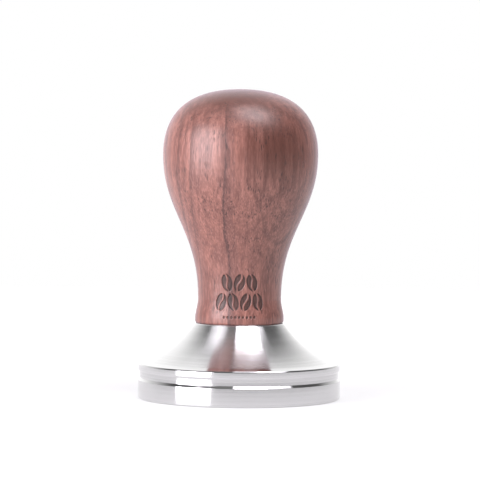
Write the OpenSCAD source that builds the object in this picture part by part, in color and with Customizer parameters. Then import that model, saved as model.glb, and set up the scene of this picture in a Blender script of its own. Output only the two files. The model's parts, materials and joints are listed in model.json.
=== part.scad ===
// Espresso tamper: a turned steel base and a turned walnut handle, joined by an M8 stud.
// Origin at the centre of the flat tamping face, +Z up through the handle. Millimetres.

/* [Base] */
// Diameter of the piston band that enters the filter basket
piston_d = 58; // [53:0.1:58.5]
// Height of the piston band
piston_h = 5.3; // [4:0.1:6]
// Diameter of the shallow groove above the piston band
groove_d = 57; // [56:0.1:57.2]
// Width of the groove
groove_w = 1.8; // [1.4:0.1:2.2]
// Diameter of the lip above the groove
lip_d = 57.74; // [57.4:0.02:58]
// Height of the rim, up to the foot of the flare
rim_h = 10.05; // [9.8:0.05:11]
// Height of the base, up to the face that the handle sits on
base_h = 21.6; // [20:0.1:23]
// Diameter of the neck just under that face
neck_d = 26.2; // [25.6:0.1:27]
// Radius of the hollow curve between rim and neck
flare_r = 29.65; // [26:0.05:40]
// Chamfer on the base's sharp edges
edge_chamfer = 0.3; // [0.2:0.05:0.5]

/* [Handle] */
// Height of the handle above the joint
handle_h = 66.9; // [60:0.1:72]
// Largest diameter, where the palm rests
bulb_d = 44.4; // [40:0.1:46]
// Height of the largest diameter above the joint
bulb_z = 48.2; // [44:0.1:50]
// Smallest diameter, between finger and thumb
waist_d = 23.8; // [23:0.1:24.6]
// Height of the smallest diameter above the joint
waist_z = 7.1; // [6:0.1:9]
// Diameter of the foot that meets the steel
foot_d = 25.4; // [25:0.1:26]
// Height where the foot's curve starts
foot_z = 2; // [1.5:0.1:3]
// Rounding of the foot's bottom edge
foot_round = 0.6; // [0.3:0.1:1]
// How far the crown stays level on its way out from the axis
crown_pull = 14.1; // [10:0.1:17]
// How far the bulb's side stays upright above its widest point
shoulder_pull = 12.6; // [9:0.1:15]
// How far the bulb's side stays upright below its widest point
belly_pull = 16.5; // [12:0.1:20]
// How far the waist stays upright above its narrowest point
waist_pull = 19.3; // [15:0.1:22]

/* [Joint] */
// Thread diameter
thread_d = 8; // [6:1:8]
// Thread pitch
thread_pitch = 1.25; // [1:0.25:1.25]
// Radial play in the female threads
thread_play = 0.14; // [0.12:0.01:0.16]
// Length of the stud
stud_l = 25; // [22:0.5:25]
// How far the stud stands out of the base
stud_out = 13; // [11:0.5:13]
// Across flats of the hexagon socket in the stud
socket_af = 4; // [3:0.5:4]
// Depth of the socket
socket_h = 5; // [4:0.5:6]
// Depth of full thread in the base
hole_h = 13.2; // [12.5:0.1:14]
// Diameter of the knurled insert
insert_d = 12; // [11.6:0.1:12.6]
// Length of the insert, flange included
insert_l = 13.6; // [13:0.1:14.5]
// Number of knurl ridges round the insert
knurls = 40; // [30:1:48]
// Diameter of the insert's flange
flange_d = 15.6; // [15:0.1:15.8]
// Diameter of the recess round the flange
recess_d = 20.4; // [20.2:0.1:21]
// Depth of the recess
recess_h = 1.6; // [1.4:0.1:1.8]
// Section diameter of the rubber ring before it is squeezed
ring_wire = 2; // [1.8:0.1:2.1]

/* [Hidden] */
$fn = 120;
over = 1;

// Base
piston_r = piston_d / 2;
groove_r = groove_d / 2;
lip_r = lip_d / 2;
neck_r = neck_d / 2;
groove_z = piston_h + 0.65;
lip_z = groove_z + groove_w + 0.5;
lip_chamfer = [0.2, 0.35];
flare_foot = [lip_r - lip_chamfer[0], rim_h];
flare_head = [neck_r, base_h - edge_chamfer];

// Thread: 60 degree flanks, flat crests of pitch / 8 and flat roots of pitch / 4
thread_n = 24;
thread_r = thread_d / 2;
thread_depth = 5 / 16 * thread_pitch * tan(60);
hole_z = base_h - hole_h;
drill_tip = 2;
mouth_r = thread_r + 0.5;
mouth_h = 1.2;
stud_z = base_h + stud_out - stud_l;
stud_top = stud_z + stud_l;
stud_chamfer = 0.8;

// Handle, insert and ring
bulb_r = bulb_d / 2;
waist_r = waist_d / 2;
foot_r = foot_d / 2;
foot_pull = 1.7;
foot_lean = 0.2;
recess_r = recess_d / 2;
insert_r = insert_d / 2;
insert_core_r = insert_r - 0.6;
knurl_valley_r = insert_r - 0.35;
knurl_h = 5;
knurl_groove = 1;
flange_gap = 0.1;
glue_gap = 0.1;
bore_r = insert_r + glue_gap;
bore_h = insert_l + 0.9;
stud_room_r = thread_r + 0.4;
stud_room_h = bore_h + 2;
drill_angle = 118;
ring_r = (flange_d + recess_d) / 4;
ring_h = recess_h - 0.04;
squeezed_r = 1.1 * ring_wire / 2;
curve_steps = 24;
round_steps = 6;

// Points on a cubic Bezier curve from p[0] up to, but without, p[3]
function bezier(p) = [for (i = [0 : curve_steps - 1])
    let (t = i / curve_steps, s = 1 - t)
    s * s * s * p[0] + 3 * s * s * t * p[1] + 3 * s * t * t * p[2] + t * t * t * p[3]];

// Centre of the circle of radius r through p and q, on the left of the way from p to q
function arc_centre(p, q, r) =
    let (chord = q - p, half = norm(chord) / 2)
    (p + q) / 2 + sqrt(r * r - half * half) / (2 * half) * [-chord[1], chord[0]];

// Height at least one pitch below z where a screw can start and be in step with every other
function screw_start(z) = hole_z - thread_pitch * (ceil((hole_z - z) / thread_pitch) + 1);

// A right-hand screw from z up to at least z_end, with pointed ends that reach past both.
// Four rails of points climb the helix: root start, root end, crest start, crest end.
// Rail 4 is rail 0 again, one turn further on.
module screw(z, z_end, crest_r) {
    root_r = crest_r - thread_depth;
    rail_r = [root_r, root_r, crest_r, crest_r];
    rail_z = [0, 1 / 4, 9 / 16, 11 / 16];
    last = thread_n * ceil((z_end - z) / thread_pitch);
    rail_0_points = last + thread_n + 1;
    points = [for (rail = [0 : 3], s = [0 : rail == 0 ? last + thread_n : last])
        let (turns = s / thread_n)
        [rail_r[rail] * cos(360 * turns), rail_r[rail] * sin(360 * turns),
            z + thread_pitch * (turns + rail_z[rail])]];
    tips = [[0, 0, z - drill_tip], [0, 0, z + thread_pitch * (last / thread_n + 1) + drill_tip]];
    low = len(points);
    high = low + 1;

    function at(rail, s) =
        rail == 4 ? s + thread_n : rail == 0 ? s : rail_0_points + (rail - 1) * (last + 1) + s;
    function rim(s) =
        concat([for (i = [0 : thread_n]) at(0, s + i)], [for (rail = [3 : -1 : 0]) at(rail, s)]);

    walls = [for (rail = [0 : 3], s = [0 : last - 1]) each [
        [at(rail, s), at(rail + 1, s), at(rail + 1, s + 1)],
        [at(rail, s), at(rail + 1, s + 1), at(rail, s + 1)]]];
    ends = [for (k = [0 : thread_n + 3]) each [
        [low, rim(0)[k], rim(0)[k + 1]],
        [high, rim(last)[k + 1], rim(last)[k]]]];
    polyhedron(concat(points, tips), concat(walls, ends));
}

// The room for a female thread, open past z_end
module thread_room(z, z_end) {
    screw(z, z_end, thread_r + thread_play);
}

// A countersink in a face at height z; side is 1 for a face that looks up and -1 for down
module countersink(z, side) {
    translate([0, 0, z])
        cylinder(h = 2 * mouth_h, r1 = mouth_r - side * mouth_h, r2 = mouth_r + side * mouth_h,
            center = true);
}

module base() {
    color([0.8, 0.81, 0.83])
    difference() {
        rotate_extrude()
            difference() {
                polygon([
                    [0, 0],
                    [piston_r - edge_chamfer, 0],
                    [piston_r, edge_chamfer],
                    [piston_r, piston_h],
                    [groove_r, groove_z],
                    [groove_r, groove_z + groove_w],
                    [lip_r, lip_z],
                    [lip_r, rim_h - lip_chamfer[1]],
                    flare_foot + [-lip_chamfer[0], lip_chamfer[1]],
                    flare_head + edge_chamfer * [1, -1],
                    flare_head + edge_chamfer * [-1, 1],
                    [0, base_h]]);
                translate(arc_centre(flare_head, flare_foot, flare_r))
                    circle(r = flare_r, $fn = 240);
            }
        thread_room(hole_z, base_h + over);
        countersink(base_h, 1);
    }
}

module threaded_stud() {
    color([0.6, 0.61, 0.63])
    difference() {
        intersection() {
            screw(screw_start(stud_z), stud_top + over, thread_r);
            rotate_extrude()
                polygon([
                    [0, stud_z],
                    [thread_r - stud_chamfer, stud_z],
                    [thread_r + over, stud_z + stud_chamfer + over],
                    [thread_r + over, stud_top - stud_chamfer - over],
                    [thread_r - stud_chamfer, stud_top],
                    [0, stud_top]]);
        }
        translate([0, 0, stud_top - socket_h])
            cylinder(h = socket_h + over, d = socket_af / cos(30), $fn = 6);
    }
}

// Squeezed between the steel and the wood, so its section is flat above and below
module rubber_ring() {
    color([0.08, 0.08, 0.08])
    rotate_extrude()
        translate([ring_r, base_h + ring_h / 2])
            intersection() {
                circle(r = squeezed_r, $fn = 48);
                square([4 * squeezed_r, ring_h], center = true);
            }
}

module handle() {
    crown = [0, handle_h];
    bulb = [bulb_r, bulb_z];
    waist = [waist_r, waist_z];
    foot = [foot_r, foot_z];
    color([0.45, 0.29, 0.19])
    translate([0, 0, base_h])
        rotate_extrude()
            polygon(concat(
                bezier([crown, crown + [crown_pull, 0], bulb + [0, shoulder_pull], bulb]),
                bezier([bulb, bulb - [0, belly_pull], waist + [0, waist_pull], waist]),
                bezier([waist, waist - [0, foot_pull], foot + [-foot_lean, foot_pull], foot]),
                [foot],
                [for (i = [0 : round_steps])
                    let (a = -90 * i / round_steps)
                    [foot_r - foot_round * (1 - cos(a)), foot_round * (1 + sin(a))]],
                [[recess_r, 0],
                    [recess_r, recess_h],
                    [bore_r, recess_h],
                    [bore_r, bore_h],
                    [stud_room_r, bore_h + (bore_r - stud_room_r) / tan(drill_angle / 2)],
                    [stud_room_r, stud_room_h],
                    [0, stud_room_h + stud_room_r / tan(drill_angle / 2)]]));
}

// A band of knurled ridges, from height z above the joint
module knurl(z) {
    translate([0, 0, z])
        linear_extrude(knurl_h)
            polygon([for (i = [0 : 2 * knurls - 1])
                let (a = 180 * i / knurls, r = i % 2 == 0 ? insert_r : knurl_valley_r)
                r * [cos(a), sin(a)]]);
}

module threaded_insert() {
    color([0.78, 0.62, 0.3])
    difference() {
        translate([0, 0, base_h]) {
            translate([0, 0, flange_gap])
                cylinder(h = recess_h - flange_gap, d = flange_d);
            translate([0, 0, flange_gap])
                cylinder(h = insert_l - flange_gap, r = insert_core_r);
            knurl(recess_h + knurl_groove / 2);
            knurl(recess_h + knurl_h + 3 / 2 * knurl_groove);
        }
        thread_room(screw_start(base_h), base_h + insert_l + over);
        countersink(base_h + flange_gap, -1);
    }
}

base();
threaded_stud();
rubber_ring();
handle();
threaded_insert();
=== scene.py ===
"""Espresso tamper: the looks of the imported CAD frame, and a plain white studio round it."""
import json
import math

import bmesh
import bpy
import numpy as np
from mathutils import Matrix, Vector


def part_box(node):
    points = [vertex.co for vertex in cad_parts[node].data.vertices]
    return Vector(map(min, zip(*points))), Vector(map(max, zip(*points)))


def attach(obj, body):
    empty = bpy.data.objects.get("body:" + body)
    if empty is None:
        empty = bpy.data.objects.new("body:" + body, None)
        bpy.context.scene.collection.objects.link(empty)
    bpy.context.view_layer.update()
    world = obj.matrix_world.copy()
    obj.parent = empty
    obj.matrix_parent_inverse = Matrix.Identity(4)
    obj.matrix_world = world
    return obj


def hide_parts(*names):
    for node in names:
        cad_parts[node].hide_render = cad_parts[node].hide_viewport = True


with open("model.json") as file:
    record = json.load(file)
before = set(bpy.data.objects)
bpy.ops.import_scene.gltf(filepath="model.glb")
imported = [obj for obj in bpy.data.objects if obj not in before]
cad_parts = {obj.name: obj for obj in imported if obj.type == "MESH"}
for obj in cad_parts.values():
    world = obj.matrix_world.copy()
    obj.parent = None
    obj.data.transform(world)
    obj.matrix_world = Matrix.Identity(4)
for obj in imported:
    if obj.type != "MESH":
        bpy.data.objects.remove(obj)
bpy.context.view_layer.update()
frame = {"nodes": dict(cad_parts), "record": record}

MM = 0.001


# ---------------------------------------------------------------- turned meshes

SHARP_TURN = math.radians(8)       # a profile corner that turns further than this is eased
EASE_STEPS = 4
EASE_SHARE = 0.4                   # the most that an eased corner takes from each of its sides
SMOOTH_ANGLE = math.radians(35)
MERGE = 1e-6


def outline(node, keep):
    """The (r, z) points of a CAD node's turned surface that keep(r, z) accepts, from the bottom up."""
    points = set()
    for vertex in frame["nodes"][node].data.vertices:
        r, z = math.hypot(vertex.co.x, vertex.co.y), vertex.co.z
        if keep(r, z):
            points.add((round(r / MM, 2), round(z / MM, 2)))
    ordered = sorted(points, key=lambda point: (point[1], -point[0]))
    return [Vector(point) * MM for point in ordered]


def without_repeats(points, least):
    """The points, leaving out each one that is nearer than least to the one before it."""
    kept = points[:1]
    for point in points[1:]:
        if (point - kept[-1]).length >= least:
            kept.append(point)
    return kept


def eased(profile, radius):
    """The profile with each sharp corner rounded, to the radius or less where its sides are short."""
    rounded = [profile[0]]
    for before, corner, after in zip(profile, profile[1:], profile[2:]):
        back, on = before - corner, after - corner
        turn = back.angle(-on)
        if turn < SHARP_TURN:
            rounded.append(corner)
            continue
        cut = min(radius * math.tan(turn / 2), EASE_SHARE * back.length, EASE_SHARE * on.length)
        start, end = corner + back.normalized() * cut, corner + on.normalized() * cut
        for step in range(EASE_STEPS + 1):
            t = step / EASE_STEPS
            rounded.append(start.lerp(corner, t).lerp(corner.lerp(end, t), t))
    rounded.append(profile[-1])
    return rounded


def smooth_curve(points, spacing):
    """A centripetal Catmull-Rom curve through the points, in steps of about spacing(z)."""
    ends = [2 * points[0] - points[1]] + points + [2 * points[-1] - points[-2]]
    curve = []
    for p0, p1, p2, p3 in zip(ends, ends[1:], ends[2:], ends[3:]):
        steps = max(1, math.ceil((p2 - p1).length / spacing(p1.y)))
        k0, k1, k2 = (math.sqrt((b - a).length) for a, b in ((p0, p1), (p1, p2), (p2, p3)))
        slope_1 = ((p1 - p0) / k0 - (p2 - p0) / (k0 + k1) + (p2 - p1) / k1) * k1
        slope_2 = ((p2 - p1) / k1 - (p3 - p1) / (k1 + k2) + (p3 - p2) / k2) * k1
        for step in range(steps):
            t = step / steps
            curve.append(
                (2 * t ** 3 - 3 * t ** 2 + 1) * p1 + (t ** 3 - 2 * t ** 2 + t) * slope_1
                + (3 * t ** 2 - 2 * t ** 3) * p2 + (t ** 3 - t ** 2) * slope_2)
    return curve + [points[-1]]


def even_angles(count):
    return np.arange(count) * 2 * math.pi / count


def around(r, z, angles):
    """Vertices at every angle; r and z are single values or arrays with one column for each angle."""
    return np.stack([r * np.cos(angles), r * np.sin(angles), z + 0 * angles], axis=-1)


def round_rows(profile, angles):
    """A block of vertices: one row for each (r, z) of the profile, one column for each angle."""
    r = np.array([point[0] for point in profile])[:, None]
    z = np.array([point[1] for point in profile])[:, None]
    return around(r, z, angles)


def quads(rows, columns, climb):
    """Corners of the faces in a block; the last column joins the first one, climb rows further on."""
    row, column = np.mgrid[0:rows - 1, 0:columns]
    next_column = (column + 1) % columns
    next_row = row + np.where(column == columns - 1, climb, 0)
    corners = np.stack([
        row * columns + column, next_row * columns + next_column,
        (next_row + 1) * columns + next_column, (row + 1) * columns + column], axis=-1)
    return corners[(next_row >= 0) & (next_row < rows - 1)]


def turned(name, blocks):
    """An object from blocks of (vertices, climb) that follow each other along the profile."""
    vertices, faces, first = [], [], 0
    for block, climb in blocks:
        rows, columns = block.shape[:2]
        vertices.append(block.reshape(-1, 3))
        faces.append(quads(rows, columns, climb) + first)
        first += rows * columns
    mesh = bpy.data.meshes.new(name)
    mesh.from_pydata(np.concatenate(vertices).tolist(), [], np.concatenate(faces).tolist())
    solid = bmesh.new()
    solid.from_mesh(mesh)
    bmesh.ops.remove_doubles(solid, verts=solid.verts, dist=MERGE)
    bmesh.ops.delete(solid, geom=[v for v in solid.verts if not v.link_faces], context="VERTS")
    solid.to_mesh(mesh)
    solid.free()
    mesh.shade_smooth()
    mesh.set_sharp_from_angle(angle=SMOOTH_ANGLE)
    piece = bpy.data.objects.new(name, mesh)
    bpy.context.scene.collection.objects.link(piece)
    return piece


# ---------------------------------------------------------------- thread

PITCH = frame["record"]["behaviour"]["couplings"][0]["ratio"] * 2 * math.pi
THREAD_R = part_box("threaded_stud")[1].x
THREAD_DEPTH = 5 / 16 * PITCH * math.tan(math.radians(60))     # 5/8 of a full 60 degree triangle
THREAD_PLAY = 0.14 * MM
NECK_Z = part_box("base")[1].z
HOLE_Z = NECK_Z - 13.2 * MM
HOLE_TIP = 2 * MM
MOUTH_R = 4.5 * MM
# One pitch of the profile: how far up it a row lies, and how proud of the thread's root
THREAD_ROWS = (
    (0, 0), (1 / 12, 0), (1 / 6, 0), (1 / 4, 0), (17 / 48, 1 / 3), (22 / 48, 2 / 3),
    (9 / 16, 1), (5 / 8, 1), (11 / 16, 1), (38 / 48, 2 / 3), (43 / 48, 1 / 3))


def thread(low, high, crest_r, trim, angles):
    """A block of rows that climb a screw's helix from low to high, and the rows in one turn.

    trim(r, z) gives the radius that a chamfer leaves. Rows beyond low and high are laid flat there.
    """
    # The first turn starts at least one pitch below low, in step with the hole, and the last ends above high
    turns = math.ceil((high - low) / PITCH) + 3
    start = HOLE_Z + (math.floor((low - HOLE_Z) / PITCH) - 1) * PITCH
    rows = [(turn + at, proud) for turn in range(turns) for at, proud in THREAD_ROWS]
    at, proud = (np.array(values)[:, None] for values in zip(*rows))
    z = np.clip(start + PITCH * (at + angles / (2 * math.pi)), low, high)
    r = trim(crest_r - THREAD_DEPTH * (1 - proud) + 0 * z, z)
    return around(r, z, angles), len(THREAD_ROWS)


# ---------------------------------------------------------------- steel pieces

BASE_COLUMNS = 240
STEEL_EASE = 0.12 * MM
RIM_TOP = 10 * MM                  # the flare's lowest point is just above this
FLARE_STEP = 0.4 * MM
# Rings of vertices on the flat underside, and on the neck's flat top round the hole
UNDER_RINGS = (0, 6 * MM, 12 * MM, 18 * MM, 24 * MM)
TOP_RINGS = (11 * MM, 8 * MM, 6 * MM)


def make_base():
    """The steel turning: the CAD outline with eased edges, and the threaded hole in its neck."""
    outside = outline("base", lambda r, z: r > MOUTH_R + MM)
    rim = [point for point in outside if point.y < RIM_TOP]
    flare = smooth_curve(outside[len(rim):-1], lambda z: FLARE_STEP)
    under = [Vector((r, 0)) for r in UNDER_RINGS]
    top = [Vector((r, NECK_Z)) for r in TOP_RINGS]
    skin = eased(under + rim + flare + outside[-1:] + top, STEEL_EASE) + [Vector((MOUTH_R, NECK_Z))]
    angles = even_angles(BASE_COLUMNS)
    hole_r = THREAD_R + THREAD_PLAY
    root_r = hole_r - THREAD_DEPTH

    def chamfered_mouth(r, z):
        return np.where(z <= HOLE_Z, root_r, np.maximum(r, MOUTH_R - (NECK_Z - z)))

    hole, climb = thread(HOLE_Z, NECK_Z, hole_r, chamfered_mouth, angles)
    tip = [Vector((root_r, HOLE_Z)), Vector((0, HOLE_Z - HOLE_TIP))]
    piece = turned("turned_base", [
        (round_rows(skin, angles), 0), (hole[::-1], -climb), (round_rows(tip, angles), 0)])
    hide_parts("base")
    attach(piece, "tamper_base")
    return piece


STUD_COLUMNS = 96
STUD_CHAMFER = 0.8 * MM
SOCKET_HALF = 2 * MM
SOCKET_DEPTH = 5 * MM
SOCKET_TIP = 0.9 * MM
SOCKET_CHAMFER = 0.15 * MM


def make_stud():
    """The set screw: a full thread, chamfered ends and a hexagon socket in its top."""
    low, high = (corner.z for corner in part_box("threaded_stud"))
    angles = even_angles(STUD_COLUMNS)
    end_r = THREAD_R - STUD_CHAMFER

    def chamfered_ends(r, z):
        return np.minimum(r, end_r + np.minimum(z - low, high - z))

    shank, climb = thread(low, high, THREAD_R, chamfered_ends, angles)
    side = math.pi / 3
    hexagon = SOCKET_HALF / np.cos(angles % side - side / 2)
    socket_z = high - SOCKET_DEPTH
    socket = np.stack([
        around(end_r, high, angles),
        around(hexagon + SOCKET_CHAMFER, high, angles),
        around(hexagon, high - SOCKET_CHAMFER, angles),
        around(hexagon, socket_z, angles),
        around(0, socket_z - SOCKET_TIP, angles)])
    end = [Vector((0, low)), Vector((end_r / 2, low)), Vector((end_r, low))]
    piece = turned("set_screw", [(round_rows(end, angles), 0), (shank, climb), (socket, 0)])
    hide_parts("threaded_stud")
    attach(piece, "tamper_base")
    return piece


# ---------------------------------------------------------------- burnt emblem

FRONT = -math.pi / 2
EMBLEM_HALF_ANGLE = math.radians(40)
EMBLEM_LOW = NECK_Z + 1.2 * MM
EMBLEM_HIGH = NECK_Z + 15.5 * MM
BURN_DEPTH = 0.22 * MM

# The emblem's own sizes are in millimetres, and its burns run from 0 to 1
BEAN_HALF_W = 1.55
BEAN_HALF_H = 2.5
BEAN_BLUR = 0.09
FILL_BURN = 0.85                   # a bean's middle; the stripe along its edge is burnt fully
STRIPE = 0.38
STRIPE_BLUR = 0.12
CREASE_SWAY = 0.34
CREASE_HALF_W = 0.24
# Each bean's place across and up from the neck's top, and its tilt in degrees
BEANS = (
    (-3.6, 12.1, 14), (0, 12.1, -14), (3.6, 12.1, 14),
    (-5.4, 6.6, -14), (-1.8, 6.6, 14), (1.8, 6.6, -14), (5.4, 6.6, 14))
SEED_ROW_Z = 2.3
SEED_STEP = 1.1
SEEDS_EACH_SIDE = 4
SEED_R = 0.33
SEED_SQUASH = 0.8
SEED_BLUR = 0.1
SEED_BURN = 0.8


def soft_step(value, width):
    """0 below -width, 1 above width, and a smooth step between."""
    t = np.clip(value / width * 0.5 + 0.5, 0, 1)
    return t * t * (3 - 2 * t)


def burn_at(across, up):
    """How deep the emblem is burnt, from 0 to 1, at places given in millimetres."""
    burn = np.zeros_like(across)
    for bean_x, bean_z, tilt in BEANS:
        c, s = math.cos(math.radians(tilt)), math.sin(math.radians(tilt))
        x = (across - bean_x) * c + (up - bean_z) * s
        z = (up - bean_z) * c - (across - bean_x) * s
        edge = (1 - np.hypot(x / BEAN_HALF_W, z / BEAN_HALF_H)) * BEAN_HALF_W
        crease = np.abs(x - CREASE_SWAY * np.sin(z / BEAN_HALF_H * math.pi)) - CREASE_HALF_W
        fill = FILL_BURN + (1 - FILL_BURN) * soft_step(STRIPE - edge, STRIPE_BLUR)
        burn = np.maximum(burn, soft_step(edge, BEAN_BLUR) * soft_step(crease, BEAN_BLUR) * fill)
    for seed in range(-SEEDS_EACH_SIDE, SEEDS_EACH_SIDE + 1):
        out = np.hypot(across - seed * SEED_STEP, (up - SEED_ROW_Z) * SEED_SQUASH)
        burn = np.maximum(burn, SEED_BURN * soft_step(SEED_R - out, SEED_BLUR))
    return burn


# ---------------------------------------------------------------- wooden handle

HANDLE_COLUMNS = 150
EMBLEM_COLUMNS = 170
WOOD_EASE = 0.15 * MM
WOOD_STEP = 0.5 * MM
EMBLEM_STEP = 0.1 * MM
LEAST_STEP = 0.12 * MM
# The bore and its mouth lie within this radius and below this height; no part of the outside does
BORE_R = 11 * MM
BORE_Z = NECK_Z + 40 * MM


def in_bore(r, z):
    return r <= BORE_R and z <= BORE_Z


def row_step(z):
    """How far apart the rows of the outside are: closer where the emblem is."""
    return EMBLEM_STEP if EMBLEM_LOW - MM < z < EMBLEM_HIGH else WOOD_STEP


def make_handle():
    """The wooden grip: the CAD outline drawn smooth, bored from below, with the emblem burnt in."""
    bore = eased(outline("handle", in_bore)[::-1], WOOD_EASE)
    outside = without_repeats(outline("handle", lambda r, z: not in_bore(r, z)), LEAST_STEP)
    outside = smooth_curve(outside, row_step)
    front_start, front_end = FRONT - EMBLEM_HALF_ANGLE, FRONT + EMBLEM_HALF_ANGLE
    front = np.linspace(front_start, front_end, EMBLEM_COLUMNS + 1)
    sides = np.linspace(front_end, front_start + 2 * math.pi, HANDLE_COLUMNS + 1)
    angles = np.concatenate([front[:-1], sides[:-1]])

    skin = round_rows(outside, angles)
    r = np.hypot(skin[..., 0], skin[..., 1])
    burn = burn_at(r * (angles - FRONT) / MM, (skin[..., 2] - NECK_Z) / MM)
    skin[..., :2] *= (1 - burn * BURN_DEPTH / np.maximum(r, MM))[..., None]

    piece = turned("walnut_grip", [(round_rows(bore + [outside[0]], angles), 0), (skin, 0)])
    mark_burn(piece.data)
    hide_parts("handle")
    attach(piece, "tamper_handle")
    return piece


def mark_burn(mesh):
    """Stores how burnt each vertex is, for the wood's colour."""
    places = np.zeros(len(mesh.vertices) * 3)
    mesh.vertices.foreach_get("co", places)
    x, y, z = places.reshape(-1, 3).T
    r = np.hypot(x, y)
    burn = burn_at(r * np.arctan2(x, -y) / MM, (z - NECK_Z) / MM)
    mark = mesh.attributes.new("burn", "FLOAT", "POINT")
    mark.data.foreach_set("value", burn * (r > BORE_R))


# ---------------------------------------------------------------- node trees

class Nodes:
    """The node tree of a material or world, with short calls that add a node and give its output."""

    def __init__(self, owner):
        owner.use_nodes = True
        self.owner = owner
        self.tree = owner.node_tree

    def node(self, kind, output=0, settings=None, **inputs):
        """Adds a node. Inputs are named with _ for a space, or in0, in1 for a place in the list."""
        made = self.tree.nodes.new("ShaderNode" + kind)
        for setting, value in (settings or {}).items():
            setattr(made, setting, value)
        for name, value in inputs.items():
            place = name[2:]
            self.put(made.inputs[int(place) if place.isdigit() else name.replace("_", " ")], value)
        return made.outputs[output]

    def put(self, socket, value):
        """Links another node's output to the socket, or sets the socket to a constant."""
        if isinstance(value, bpy.types.NodeSocket):
            self.tree.links.new(value, socket)
        else:
            socket.default_value = value

    def set(self, node, **inputs):
        """Sets inputs of the node with this name."""
        for name, value in inputs.items():
            self.put(self.tree.nodes[node].inputs[name.replace("_", " ")], value)

    def surface(self, **inputs):
        """Sets inputs of a material's own shader, and gives the material."""
        self.set("Principled BSDF", **inputs)
        return self.owner

    def math(self, operation, *values):
        return self.node("Math", settings={"operation": operation}, **{
            f"in{place}": value for place, value in enumerate(values)})

    def vector(self, operation, *values, output="Vector"):
        return self.node("VectorMath", output, {"operation": operation}, **{
            f"in{place}": value for place, value in enumerate(values)})

    def times(self, first, second):
        return self.math("MULTIPLY", first, second)

    def hypot(self, x, y):
        return self.math("SQRT", self.math("ADD", self.times(x, x), self.times(y, y)))

    def about_half(self, noise, reach, value):
        """The value plus a noise whose middle, a half, is moved to 0 and whose swing is reach."""
        return self.math("MULTIPLY_ADD", self.math("SUBTRACT", noise, 0.5), reach, value)

    def ramp(self, factor, stops, span=1, interpolation="LINEAR"):
        """A colour ramp over 0 to span; a stop's value is a grey level or an (r, g, b) colour."""
        if span != 1:
            factor = self.math("DIVIDE", factor, span)
        made = self.node("ValToRGB", Fac=factor)
        band = made.node.color_ramp
        band.interpolation = interpolation
        while len(band.elements) < len(stops):
            band.elements.new(0.5)
        for element, (place, value) in zip(band.elements, stops):
            element.position = place / span
            element.color = (*value, 1) if isinstance(value, tuple) else (value, value, value, 1)
        return made

    def mix(self, factor, first, second):
        """The first colour where the factor is 0, the second where it is 1."""
        made = self.node("Mix", settings={"data_type": "RGBA"}).node
        for socket, value in ((0, factor), (6, first), (7, second)):
            self.put(made.inputs[socket], (*value, 1) if isinstance(value, tuple) else value)
        return made.outputs[2]

    def place(self, across=1, along=1):
        """The object's own coordinates in millimetres, times a factor across its axis and one along."""
        scale = (across / MM, across / MM, along / MM)
        return self.vector("MULTIPLY", self.node("TexCoord", "Object"), scale)

    def axes(self, vector):
        """The x, y and z of a vector."""
        return self.node("SeparateXYZ", in0=vector).node.outputs

    def noise(self, vector, detail=2, roughness=0.5):
        return self.node("TexNoise", Vector=vector, Scale=1, Detail=detail, Roughness=roughness,
                         Distortion=0)

    def grain(self, across, along, detail=2, roughness=0.5):
        """Noise that changes this often in a millimetre across the object's axis and along it."""
        return self.noise(self.place(across, along), detail, roughness)

    def bump(self, height, strength, distance):
        return self.node("Bump", Height=height, Strength=strength, Distance=distance)


# ---------------------------------------------------------------- walnut

# Where the tree's middle lies off the handle's axis, in millimetres
PITH = (22.7, -22.6)
# Distance of each growth line from the pith in millimetres, and how dark it is
GROWTH_LINES = ((27.5, 0.9), (37.7, 0.5), (41.9, 0.6), (47.5, 0.7), (53.5, 0.6))
RING_SPAN = 60
# A fainter line that shows as an arch, up to a height where it fades out
ARCH = 17.5
ARCH_DARK = 0.45
ARCH_FADE = ((58, 1), (68, 0))
# Sections of a line, of the arch and of the porous band inside a line: how far out from the line's
# distance, in millimetres, and the share of its darkness there
LINE_SECTION = ((-1.1, 0), (-0.1, 1), (0.2, 0))
ARCH_SECTION = ((-0.8, 0), (0, 1), (0.15, 0))
BAND_SECTION = ((-3.2, 0), (-2.7, 0.8), (-2.2, 0.5), (-0.2, 0.9), (0.1, 0))
# How far the lines stray from true circles, in millimetres: in slow bends, and in small ripples
WANDER = 5
RIPPLE = 0.7
LAYER_LEAN = 0.02
HEIGHT_SPAN = 100
# Darker patches laid on the wood, one on the bulb's front right and one over its top: where each is and how
# far it reaches, in millimetres, and how dark it is
DARK_PATCHES = (((10, -19, 71.5), (18, 17, 17.5), 0.87), ((-4, -12.5, 88), (26, 26, 20.5), 0.95))

BROWN, LIGHT_BROWN = (0.275, 0.111, 0.085), (0.375, 0.162, 0.128)
LAYER_TONE = (0.18, 0.071, 0.057)
STREAK_TONE = (0.155, 0.06, 0.048)
BAND_TONE = (0.125, 0.054, 0.048)
DARK_FIBRE, LIGHT_FIBRE = (0.12, 0.046, 0.038), (0.45, 0.225, 0.195)
LINE_TONE = (0.04, 0.017, 0.017)
# The colour that the darker patches fade the wood towards
PATCH_TONE = (0.085, 0.027, 0.018)
PORE_TONE = (0.022, 0.01, 0.009)
BURNT_TONE = (0.022, 0.01, 0.008)
OIL_SHEEN = (0.88, 0.68, 1, 1)


def ring_stops(at, dark, section):
    """Ramp stops, in millimetres from the pith, for a section laid at this distance."""
    return [(at + out, dark * share) for out, share in section]


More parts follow.
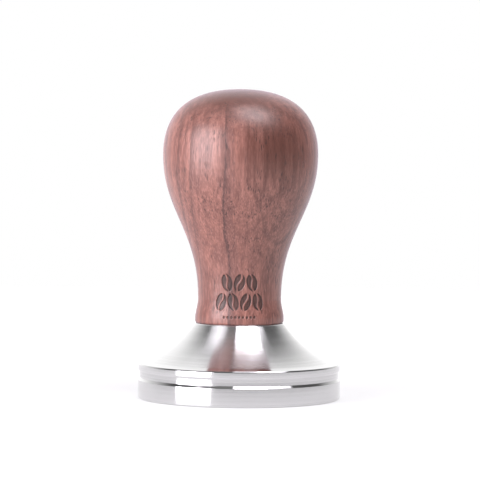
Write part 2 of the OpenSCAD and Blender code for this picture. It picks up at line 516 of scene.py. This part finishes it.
def growth(wood):
    """Masks and a texture from the distance to the pith: growth lines, porous bands, fine layers."""
    x, y, z = wood.axes(wood.place())
    far = wood.hypot(wood.math("SUBTRACT", x, PITH[0]), wood.math("SUBTRACT", y, PITH[1]))
    far = wood.about_half(wood.grain(0.05, 0.025, detail=3), WANDER, far)
    far = wood.about_half(wood.grain(0.4, 0.12), RIPPLE, far)
    lines, bands = [(0, 0)], [(0, 0)]
    for at, dark in GROWTH_LINES:
        lines += ring_stops(at, dark, LINE_SECTION)
        bands += ring_stops(at, dark, BAND_SECTION)
    arch = wood.ramp(far, ring_stops(ARCH, ARCH_DARK, ARCH_SECTION), RING_SPAN)
    arch = wood.times(arch, wood.ramp(z, ARCH_FADE, HEIGHT_SPAN))
    line = wood.math("MAXIMUM", wood.ramp(far, lines, RING_SPAN), arch)
    along = wood.node("CombineXYZ", in0=far, in1=wood.times(z, LAYER_LEAN))
    layers = wood.noise(along, detail=3, roughness=0.6)
    return line, wood.ramp(far, bands, RING_SPAN), layers


def pores(wood, band):
    """A mask of open pores, drawn out along the grain: many in the porous bands, fewer elsewhere."""
    dense = wood.ramp(wood.grain(0.35, 0.12, detail=1), [(0.4, 0.15), (0.6, 0.9)])
    pore = wood.ramp(wood.grain(1.7, 0.11), [(0.31, 1), (0.37, 0)])
    for across, along in ((1.35, 0.19), (2.3, 0.34)):
        cell = wood.node("TexVoronoi", "Distance", {"feature": "F1"},
                         Vector=wood.place(across, along), Scale=1, Randomness=1)
        pore = wood.math("MAXIMUM", pore, wood.ramp(cell, [(0.14, 1), (0.26, 0)]))
    return wood.times(pore, wood.math("MAXIMUM", dense, band))


def walnut():
    """Turned walnut: growth lines, streaks, open pores and a satin oil finish."""
    wood = Nodes(bpy.data.materials.new("walnut"))
    line, band, layers = growth(wood)
    cloud = wood.grain(0.06, 0.022)
    streak = wood.grain(0.55, 0.018, detail=3, roughness=0.6)
    fibre = wood.grain(3, 0.3, detail=3, roughness=0.65)
    pore = pores(wood, band)
    burn = wood.node("Attribute", "Fac", {"attribute_name": "burn"})

    color = wood.ramp(cloud, [(0.35, BROWN), (0.65, LIGHT_BROWN)])
    for mask, tone in (
            (wood.ramp(layers, [(0.4, 0.5), (0.6, 0)]), LAYER_TONE),
            (wood.ramp(streak, [(0.37, 0.85), (0.58, 0)]), STREAK_TONE),
            (wood.times(band, 0.65), BAND_TONE),
            (wood.ramp(fibre, [(0.35, 0.45), (0.6, 0)]), DARK_FIBRE),
            (wood.ramp(fibre, [(0.5, 0), (0.75, 0.45)]), LIGHT_FIBRE),
            (wood.times(line, wood.ramp(fibre, [(0.35, 0.9), (0.65, 0.55)])), LINE_TONE)):
        color = wood.mix(mask, color, tone)
    # Darkens the wood round each patch's middle, fading out towards its reach
    for middle, reach, dark in DARK_PATCHES:
        out = wood.vector("DIVIDE", wood.vector("SUBTRACT", wood.place(), middle), reach)
        out = wood.about_half(streak, 0.6, wood.vector("LENGTH", out, output="Value"))
        patch = wood.ramp(out, [(0.1, dark), (1, 0)], interpolation="EASE")
        color = wood.mix(patch, color, PATCH_TONE)
    color = wood.mix(wood.times(pore, 0.75), color, PORE_TONE)
    scorch = wood.times(burn, wood.ramp(fibre, [(0.3, 1), (0.7, 0.8)]))
    color = wood.mix(scorch, color, BURNT_TONE)

    rough = wood.math("MULTIPLY_ADD", fibre, 0.12, 0.38)
    rough = wood.math("MULTIPLY_ADD", burn, 0.2, rough)
    height = wood.math("SUBTRACT", wood.times(fibre, 0.4), pore)
    return wood.surface(
        Base_Color=color, Roughness=rough, Specular_IOR_Level=0.4, Coat_Weight=0.3,
        Coat_Roughness=0.3, Sheen_Weight=0.23, Sheen_Roughness=0.3, Sheen_Tint=OIL_SHEEN,
        Normal=wood.bump(height, 0.6, 0.06 * MM))


# ---------------------------------------------------------------- metals and rubber

AXIS_GUARD = 0.01      # keeps a division by the radius, in millimetres, safe on the axis
STEEL_DARK, STEEL_LIGHT = (0.57, 0.565, 0.565), (0.7, 0.695, 0.7)
# Share of the roughness that stays: on the rim by the normal's z, so that faces that look up are the
# smoothest, and all of it above the rim, by the height in millimetres
RIM_POLISH = ((0.25, 0.75), (0.42, 0.4))
FLARE_POLISH = ((10.4, 0), (10.8, 1))
FLARE_SPAN = 20
SCREW_DARK, SCREW_LIGHT = (0.4, 0.395, 0.39), (0.58, 0.575, 0.57)
TARNISH, BRIGHT_BRASS = (0.55, 0.36, 0.13), (0.78, 0.56, 0.24)
BLACK, BLOOM = (0.012, 0.012, 0.013), (0.03, 0.03, 0.031)


def turning_marks(metal, per_mm):
    """Fine rings left by the tool: noise that changes along the profile but hardly round it."""
    x, y, z = metal.axes(metal.place())
    r = metal.hypot(x, y)
    side = metal.math("DIVIDE", y, metal.math("MAXIMUM", r, AXIS_GUARD))
    along = metal.node("CombineXYZ", in0=metal.times(r, per_mm), in1=metal.times(z, per_mm),
                       in2=metal.times(side, 0.3))
    return metal.noise(along, detail=3, roughness=0.65)


def turned_steel():
    """Bright stainless steel whose tool marks draw each reflection out; the rim is polished more."""
    steel = Nodes(bpy.data.materials.new("turned_steel"))
    fine, broad = turning_marks(steel, 9), turning_marks(steel, 1.6)
    slope = steel.axes(steel.node("TexCoord", "Normal"))[2]
    height = steel.axes(steel.place())[2]
    spread = steel.math(
        "MAXIMUM", steel.ramp(slope, RIM_POLISH), steel.ramp(height, FLARE_POLISH, FLARE_SPAN))
    rough = steel.times(steel.math("MULTIPLY_ADD", broad, 0.06, 0.17), spread)
    return steel.surface(
        Base_Color=steel.ramp(fine, [(0.3, STEEL_DARK), (0.7, STEEL_LIGHT)]), Metallic=1,
        Roughness=rough, Anisotropic=1, Anisotropic_Rotation=0.25,
        Tangent=steel.node("Tangent", 0, {"direction_type": "RADIAL", "axis": "Z"}),
        Normal=steel.bump(fine, 0.35, 0.01 * MM))


def stud_steel():
    """Plain screw steel, uneven and duller than the base."""
    steel = Nodes(bpy.data.materials.new("stud_steel"))
    grime = steel.grain(0.6, 0.6, detail=4)
    return steel.surface(
        Base_Color=steel.ramp(grime, [(0.35, SCREW_DARK), (0.65, SCREW_LIGHT)]), Metallic=1,
        Roughness=steel.math("MULTIPLY_ADD", grime, 0.2, 0.22),
        Normal=steel.bump(turning_marks(steel, 12), 0.3, 0.01 * MM))


def brass():
    """Turned brass with tarnished patches."""
    metal = Nodes(bpy.data.materials.new("brass"))
    tarnish = metal.grain(0.35, 0.35, detail=4, roughness=0.6)
    return metal.surface(
        Base_Color=metal.ramp(tarnish, [(0.35, TARNISH), (0.65, BRIGHT_BRASS)]), Metallic=1,
        Roughness=metal.math("MULTIPLY_ADD", tarnish, 0.25, 0.18),
        Normal=metal.bump(turning_marks(metal, 10), 0.35, 0.012 * MM))


def black_rubber():
    """Matt black rubber with a faint dusty bloom."""
    rubber = Nodes(bpy.data.materials.new("black_rubber"))
    skin = rubber.grain(6, 6, detail=3)
    bloom = rubber.grain(0.4, 0.4)
    return rubber.surface(
        Base_Color=rubber.ramp(bloom, [(0.35, BLACK), (0.65, BLOOM)]),
        Roughness=rubber.math("MULTIPLY_ADD", skin, 0.25, 0.45),
        Normal=rubber.bump(skin, 0.4, 0.02 * MM))


def paint(piece, material):
    """Gives an object one material, in place of those it came with."""
    for slot in piece.material_slots:
        slot.material = material
    if not piece.material_slots:
        piece.data.materials.append(material)


# ---------------------------------------------------------------- studio

FLOOR_R = 0.6
FLOOR_SIDES = 96
FLOOR_DROP = 0.05 * MM
# Opacity and glow of the floor by the distance from its middle, in metres
FLOOR_FADE = ((0.36, 1), (0.57, 0))
FLOOR_GLOW = ((0.09, 0.55), (0.36, 0.85))
FLOOR_TONE = (0.33, 0.325, 0.335, 1)
WHITE = (1, 1, 1, 1)

# Brightness of the surroundings by the sine of the elevation; below the horizon it is as at 0
BRIGHT_WALL = ((0, 1), (0.5, 1), (0.64, 0.92), (0.77, 0.8), (0.9, 0.34), (1, 0.22))
DIM_WALL = ((0, 0.22), (0.35, 0.16), (0.6, 0.08), (0.72, 0.08), (0.85, 0.15), (1, 0.29))
# Azimuth of the bright wall's middle, and how much of it shows by the cosine of the angle from there
BRIGHT_SIDE = math.radians(-172)
BRIGHT_SHARE = ((0.38, 0), (0.56, 0.3), (0.79, 0.64), (0.93, 0.96), (1, 1))
WALL_STRENGTH = 1.4

# Softboxes: azimuth and elevation in degrees, then distance, width, height, radiance and shift aside
SOFTBOXES = {
    "side_softbox": (-53, 12, 0.7, 0.56, 0.62, 9, 0),
    "high_softbox": (-84, 61, 0.6, 0.27, 0.17, 1.5, 0),
    "top_softbox": (0, 75, 0.6, 0.33, 0.38, 5.6, 0.12),
    "top_glow": (0, 72, 0.6, 0.6, 0.32, 2, 0.25),
    "right_glow": (46, 57, 0.6, 0.26, 0.2, 4, 0)}
LAMP_TINT = (1, 0.97, 1.03)
OBJECT_MIDDLE = Vector((0, 0, 0.045))

CAMERA_PLACE = (0, -0.7, 0.07256)
CAMERA_LENS = 183.25
CAMERA_SENSOR = 36
CAMERA_LOOK_DOWN = math.radians(2.23)
CAMERA_ROLL = math.radians(0.459)
CAMERA_NEAR, CAMERA_FAR = 0.01, 20


def bearing(azimuth, elevation=0.0):
    """The direction at these angles; azimuth 0 is the camera's side, and it grows to the right."""
    level = math.cos(elevation)
    return Vector((math.sin(azimuth) * level, -math.cos(azimuth) * level, math.sin(elevation)))


def make_floor():
    """A white disc that fades out before its edge, so that it runs into the white behind it."""
    mesh = bpy.data.meshes.new("floor")
    disc = bmesh.new()
    bmesh.ops.create_circle(disc, cap_ends=True, radius=FLOOR_R, segments=FLOOR_SIDES)
    disc.to_mesh(mesh)
    disc.free()
    floor = bpy.data.objects.new("floor", mesh)
    bpy.context.scene.collection.objects.link(floor)
    floor.location.z = -FLOOR_DROP
    white = Nodes(bpy.data.materials.new("white_floor"))
    out = white.vector("LENGTH", white.node("TexCoord", "Object"), output="Value")
    from_above = white.math("SUBTRACT", 1, white.node("NewGeometry", "Backfacing"))
    fade = white.times(white.ramp(out, FLOOR_FADE, FLOOR_R, "EASE"), from_above)
    paint(floor, white.surface(
        Base_Color=FLOOR_TONE, Roughness=0.9, Specular_IOR_Level=0.1, Alpha=fade,
        Emission_Color=WHITE, Emission_Strength=white.ramp(out, FLOOR_GLOW, FLOOR_R, "EASE")))


def make_world():
    """White for the camera; for light and reflections, white behind the object and dim before it."""
    world = bpy.data.worlds.new("studio")
    bpy.context.scene.world = world
    sky = Nodes(world)
    toward = sky.node("TexCoord", "Generated")
    height = sky.axes(toward)[2]
    level = sky.vector("NORMALIZE", sky.vector("MULTIPLY", toward, (1, 1, 0)))
    near_bright = sky.vector("DOT_PRODUCT", level, bearing(BRIGHT_SIDE), output="Value")
    walls = sky.mix(sky.ramp(near_bright, BRIGHT_SHARE), sky.ramp(height, DIM_WALL),
                    sky.ramp(height, BRIGHT_WALL))
    sky.set("Background", Color=walls, Strength=WALL_STRENGTH)
    lit = sky.tree.nodes["Background"].outputs[0]
    seen = sky.node("Background", Color=WHITE)
    both = sky.node("MixShader", in0=sky.node("LightPath", "Is Camera Ray"), in1=lit, in2=seen)
    sky.set("World Output", Surface=both)


def softbox(name, azimuth, elevation, distance, width, height, radiance, shift):
    """A rectangular light turned to the middle of the object, and then moved sideways by shift."""
    lamp = bpy.data.lights.new(name, "AREA")
    lamp.shape = "RECTANGLE"
    lamp.size, lamp.size_y = width, height
    lamp.energy = radiance * math.pi * width * height
    lamp.color = LAMP_TINT
    box = bpy.data.objects.new(name, lamp)
    a, e = math.radians(azimuth), math.radians(elevation)
    back = bearing(a, e)
    box.location = OBJECT_MIDDLE + back * distance + bearing(a + math.pi / 2) * shift
    box.rotation_euler = back.to_track_quat("Z", "Y").to_euler()
    box.visible_camera = False
    bpy.context.scene.collection.objects.link(box)


def make_camera():
    """The viewing angle: from the front, a little above, with a slight roll."""
    camera = bpy.data.objects.new("camera", bpy.data.cameras.new("camera"))
    bpy.context.scene.collection.objects.link(camera)
    bpy.context.scene.camera = camera
    camera.data.lens = CAMERA_LENS
    camera.data.sensor_width = CAMERA_SENSOR
    camera.data.clip_start, camera.data.clip_end = CAMERA_NEAR, CAMERA_FAR
    ahead = Vector((0, math.cos(CAMERA_LOOK_DOWN), -math.sin(CAMERA_LOOK_DOWN)))
    right = Vector((1, 0, 0))
    up = right.cross(ahead)
    across = right * math.cos(CAMERA_ROLL) + up * math.sin(CAMERA_ROLL)
    upward = up * math.cos(CAMERA_ROLL) - right * math.sin(CAMERA_ROLL)
    turn = Matrix((across, upward, -ahead)).transposed()
    camera.matrix_world = Matrix.Translation(CAMERA_PLACE) @ turn.to_4x4()


# ---------------------------------------------------------------- the scene

paint(make_base(), turned_steel())
paint(make_stud(), stud_steel())
paint(make_handle(), walnut())
paint(frame["nodes"]["threaded_insert"], brass())
paint(frame["nodes"]["rubber_ring"], black_rubber())

make_floor()
make_world()
for name, placing in SOFTBOXES.items():
    softbox(name, *placing)
make_camera()
bpy.context.scene.view_settings.view_transform = "Standard"
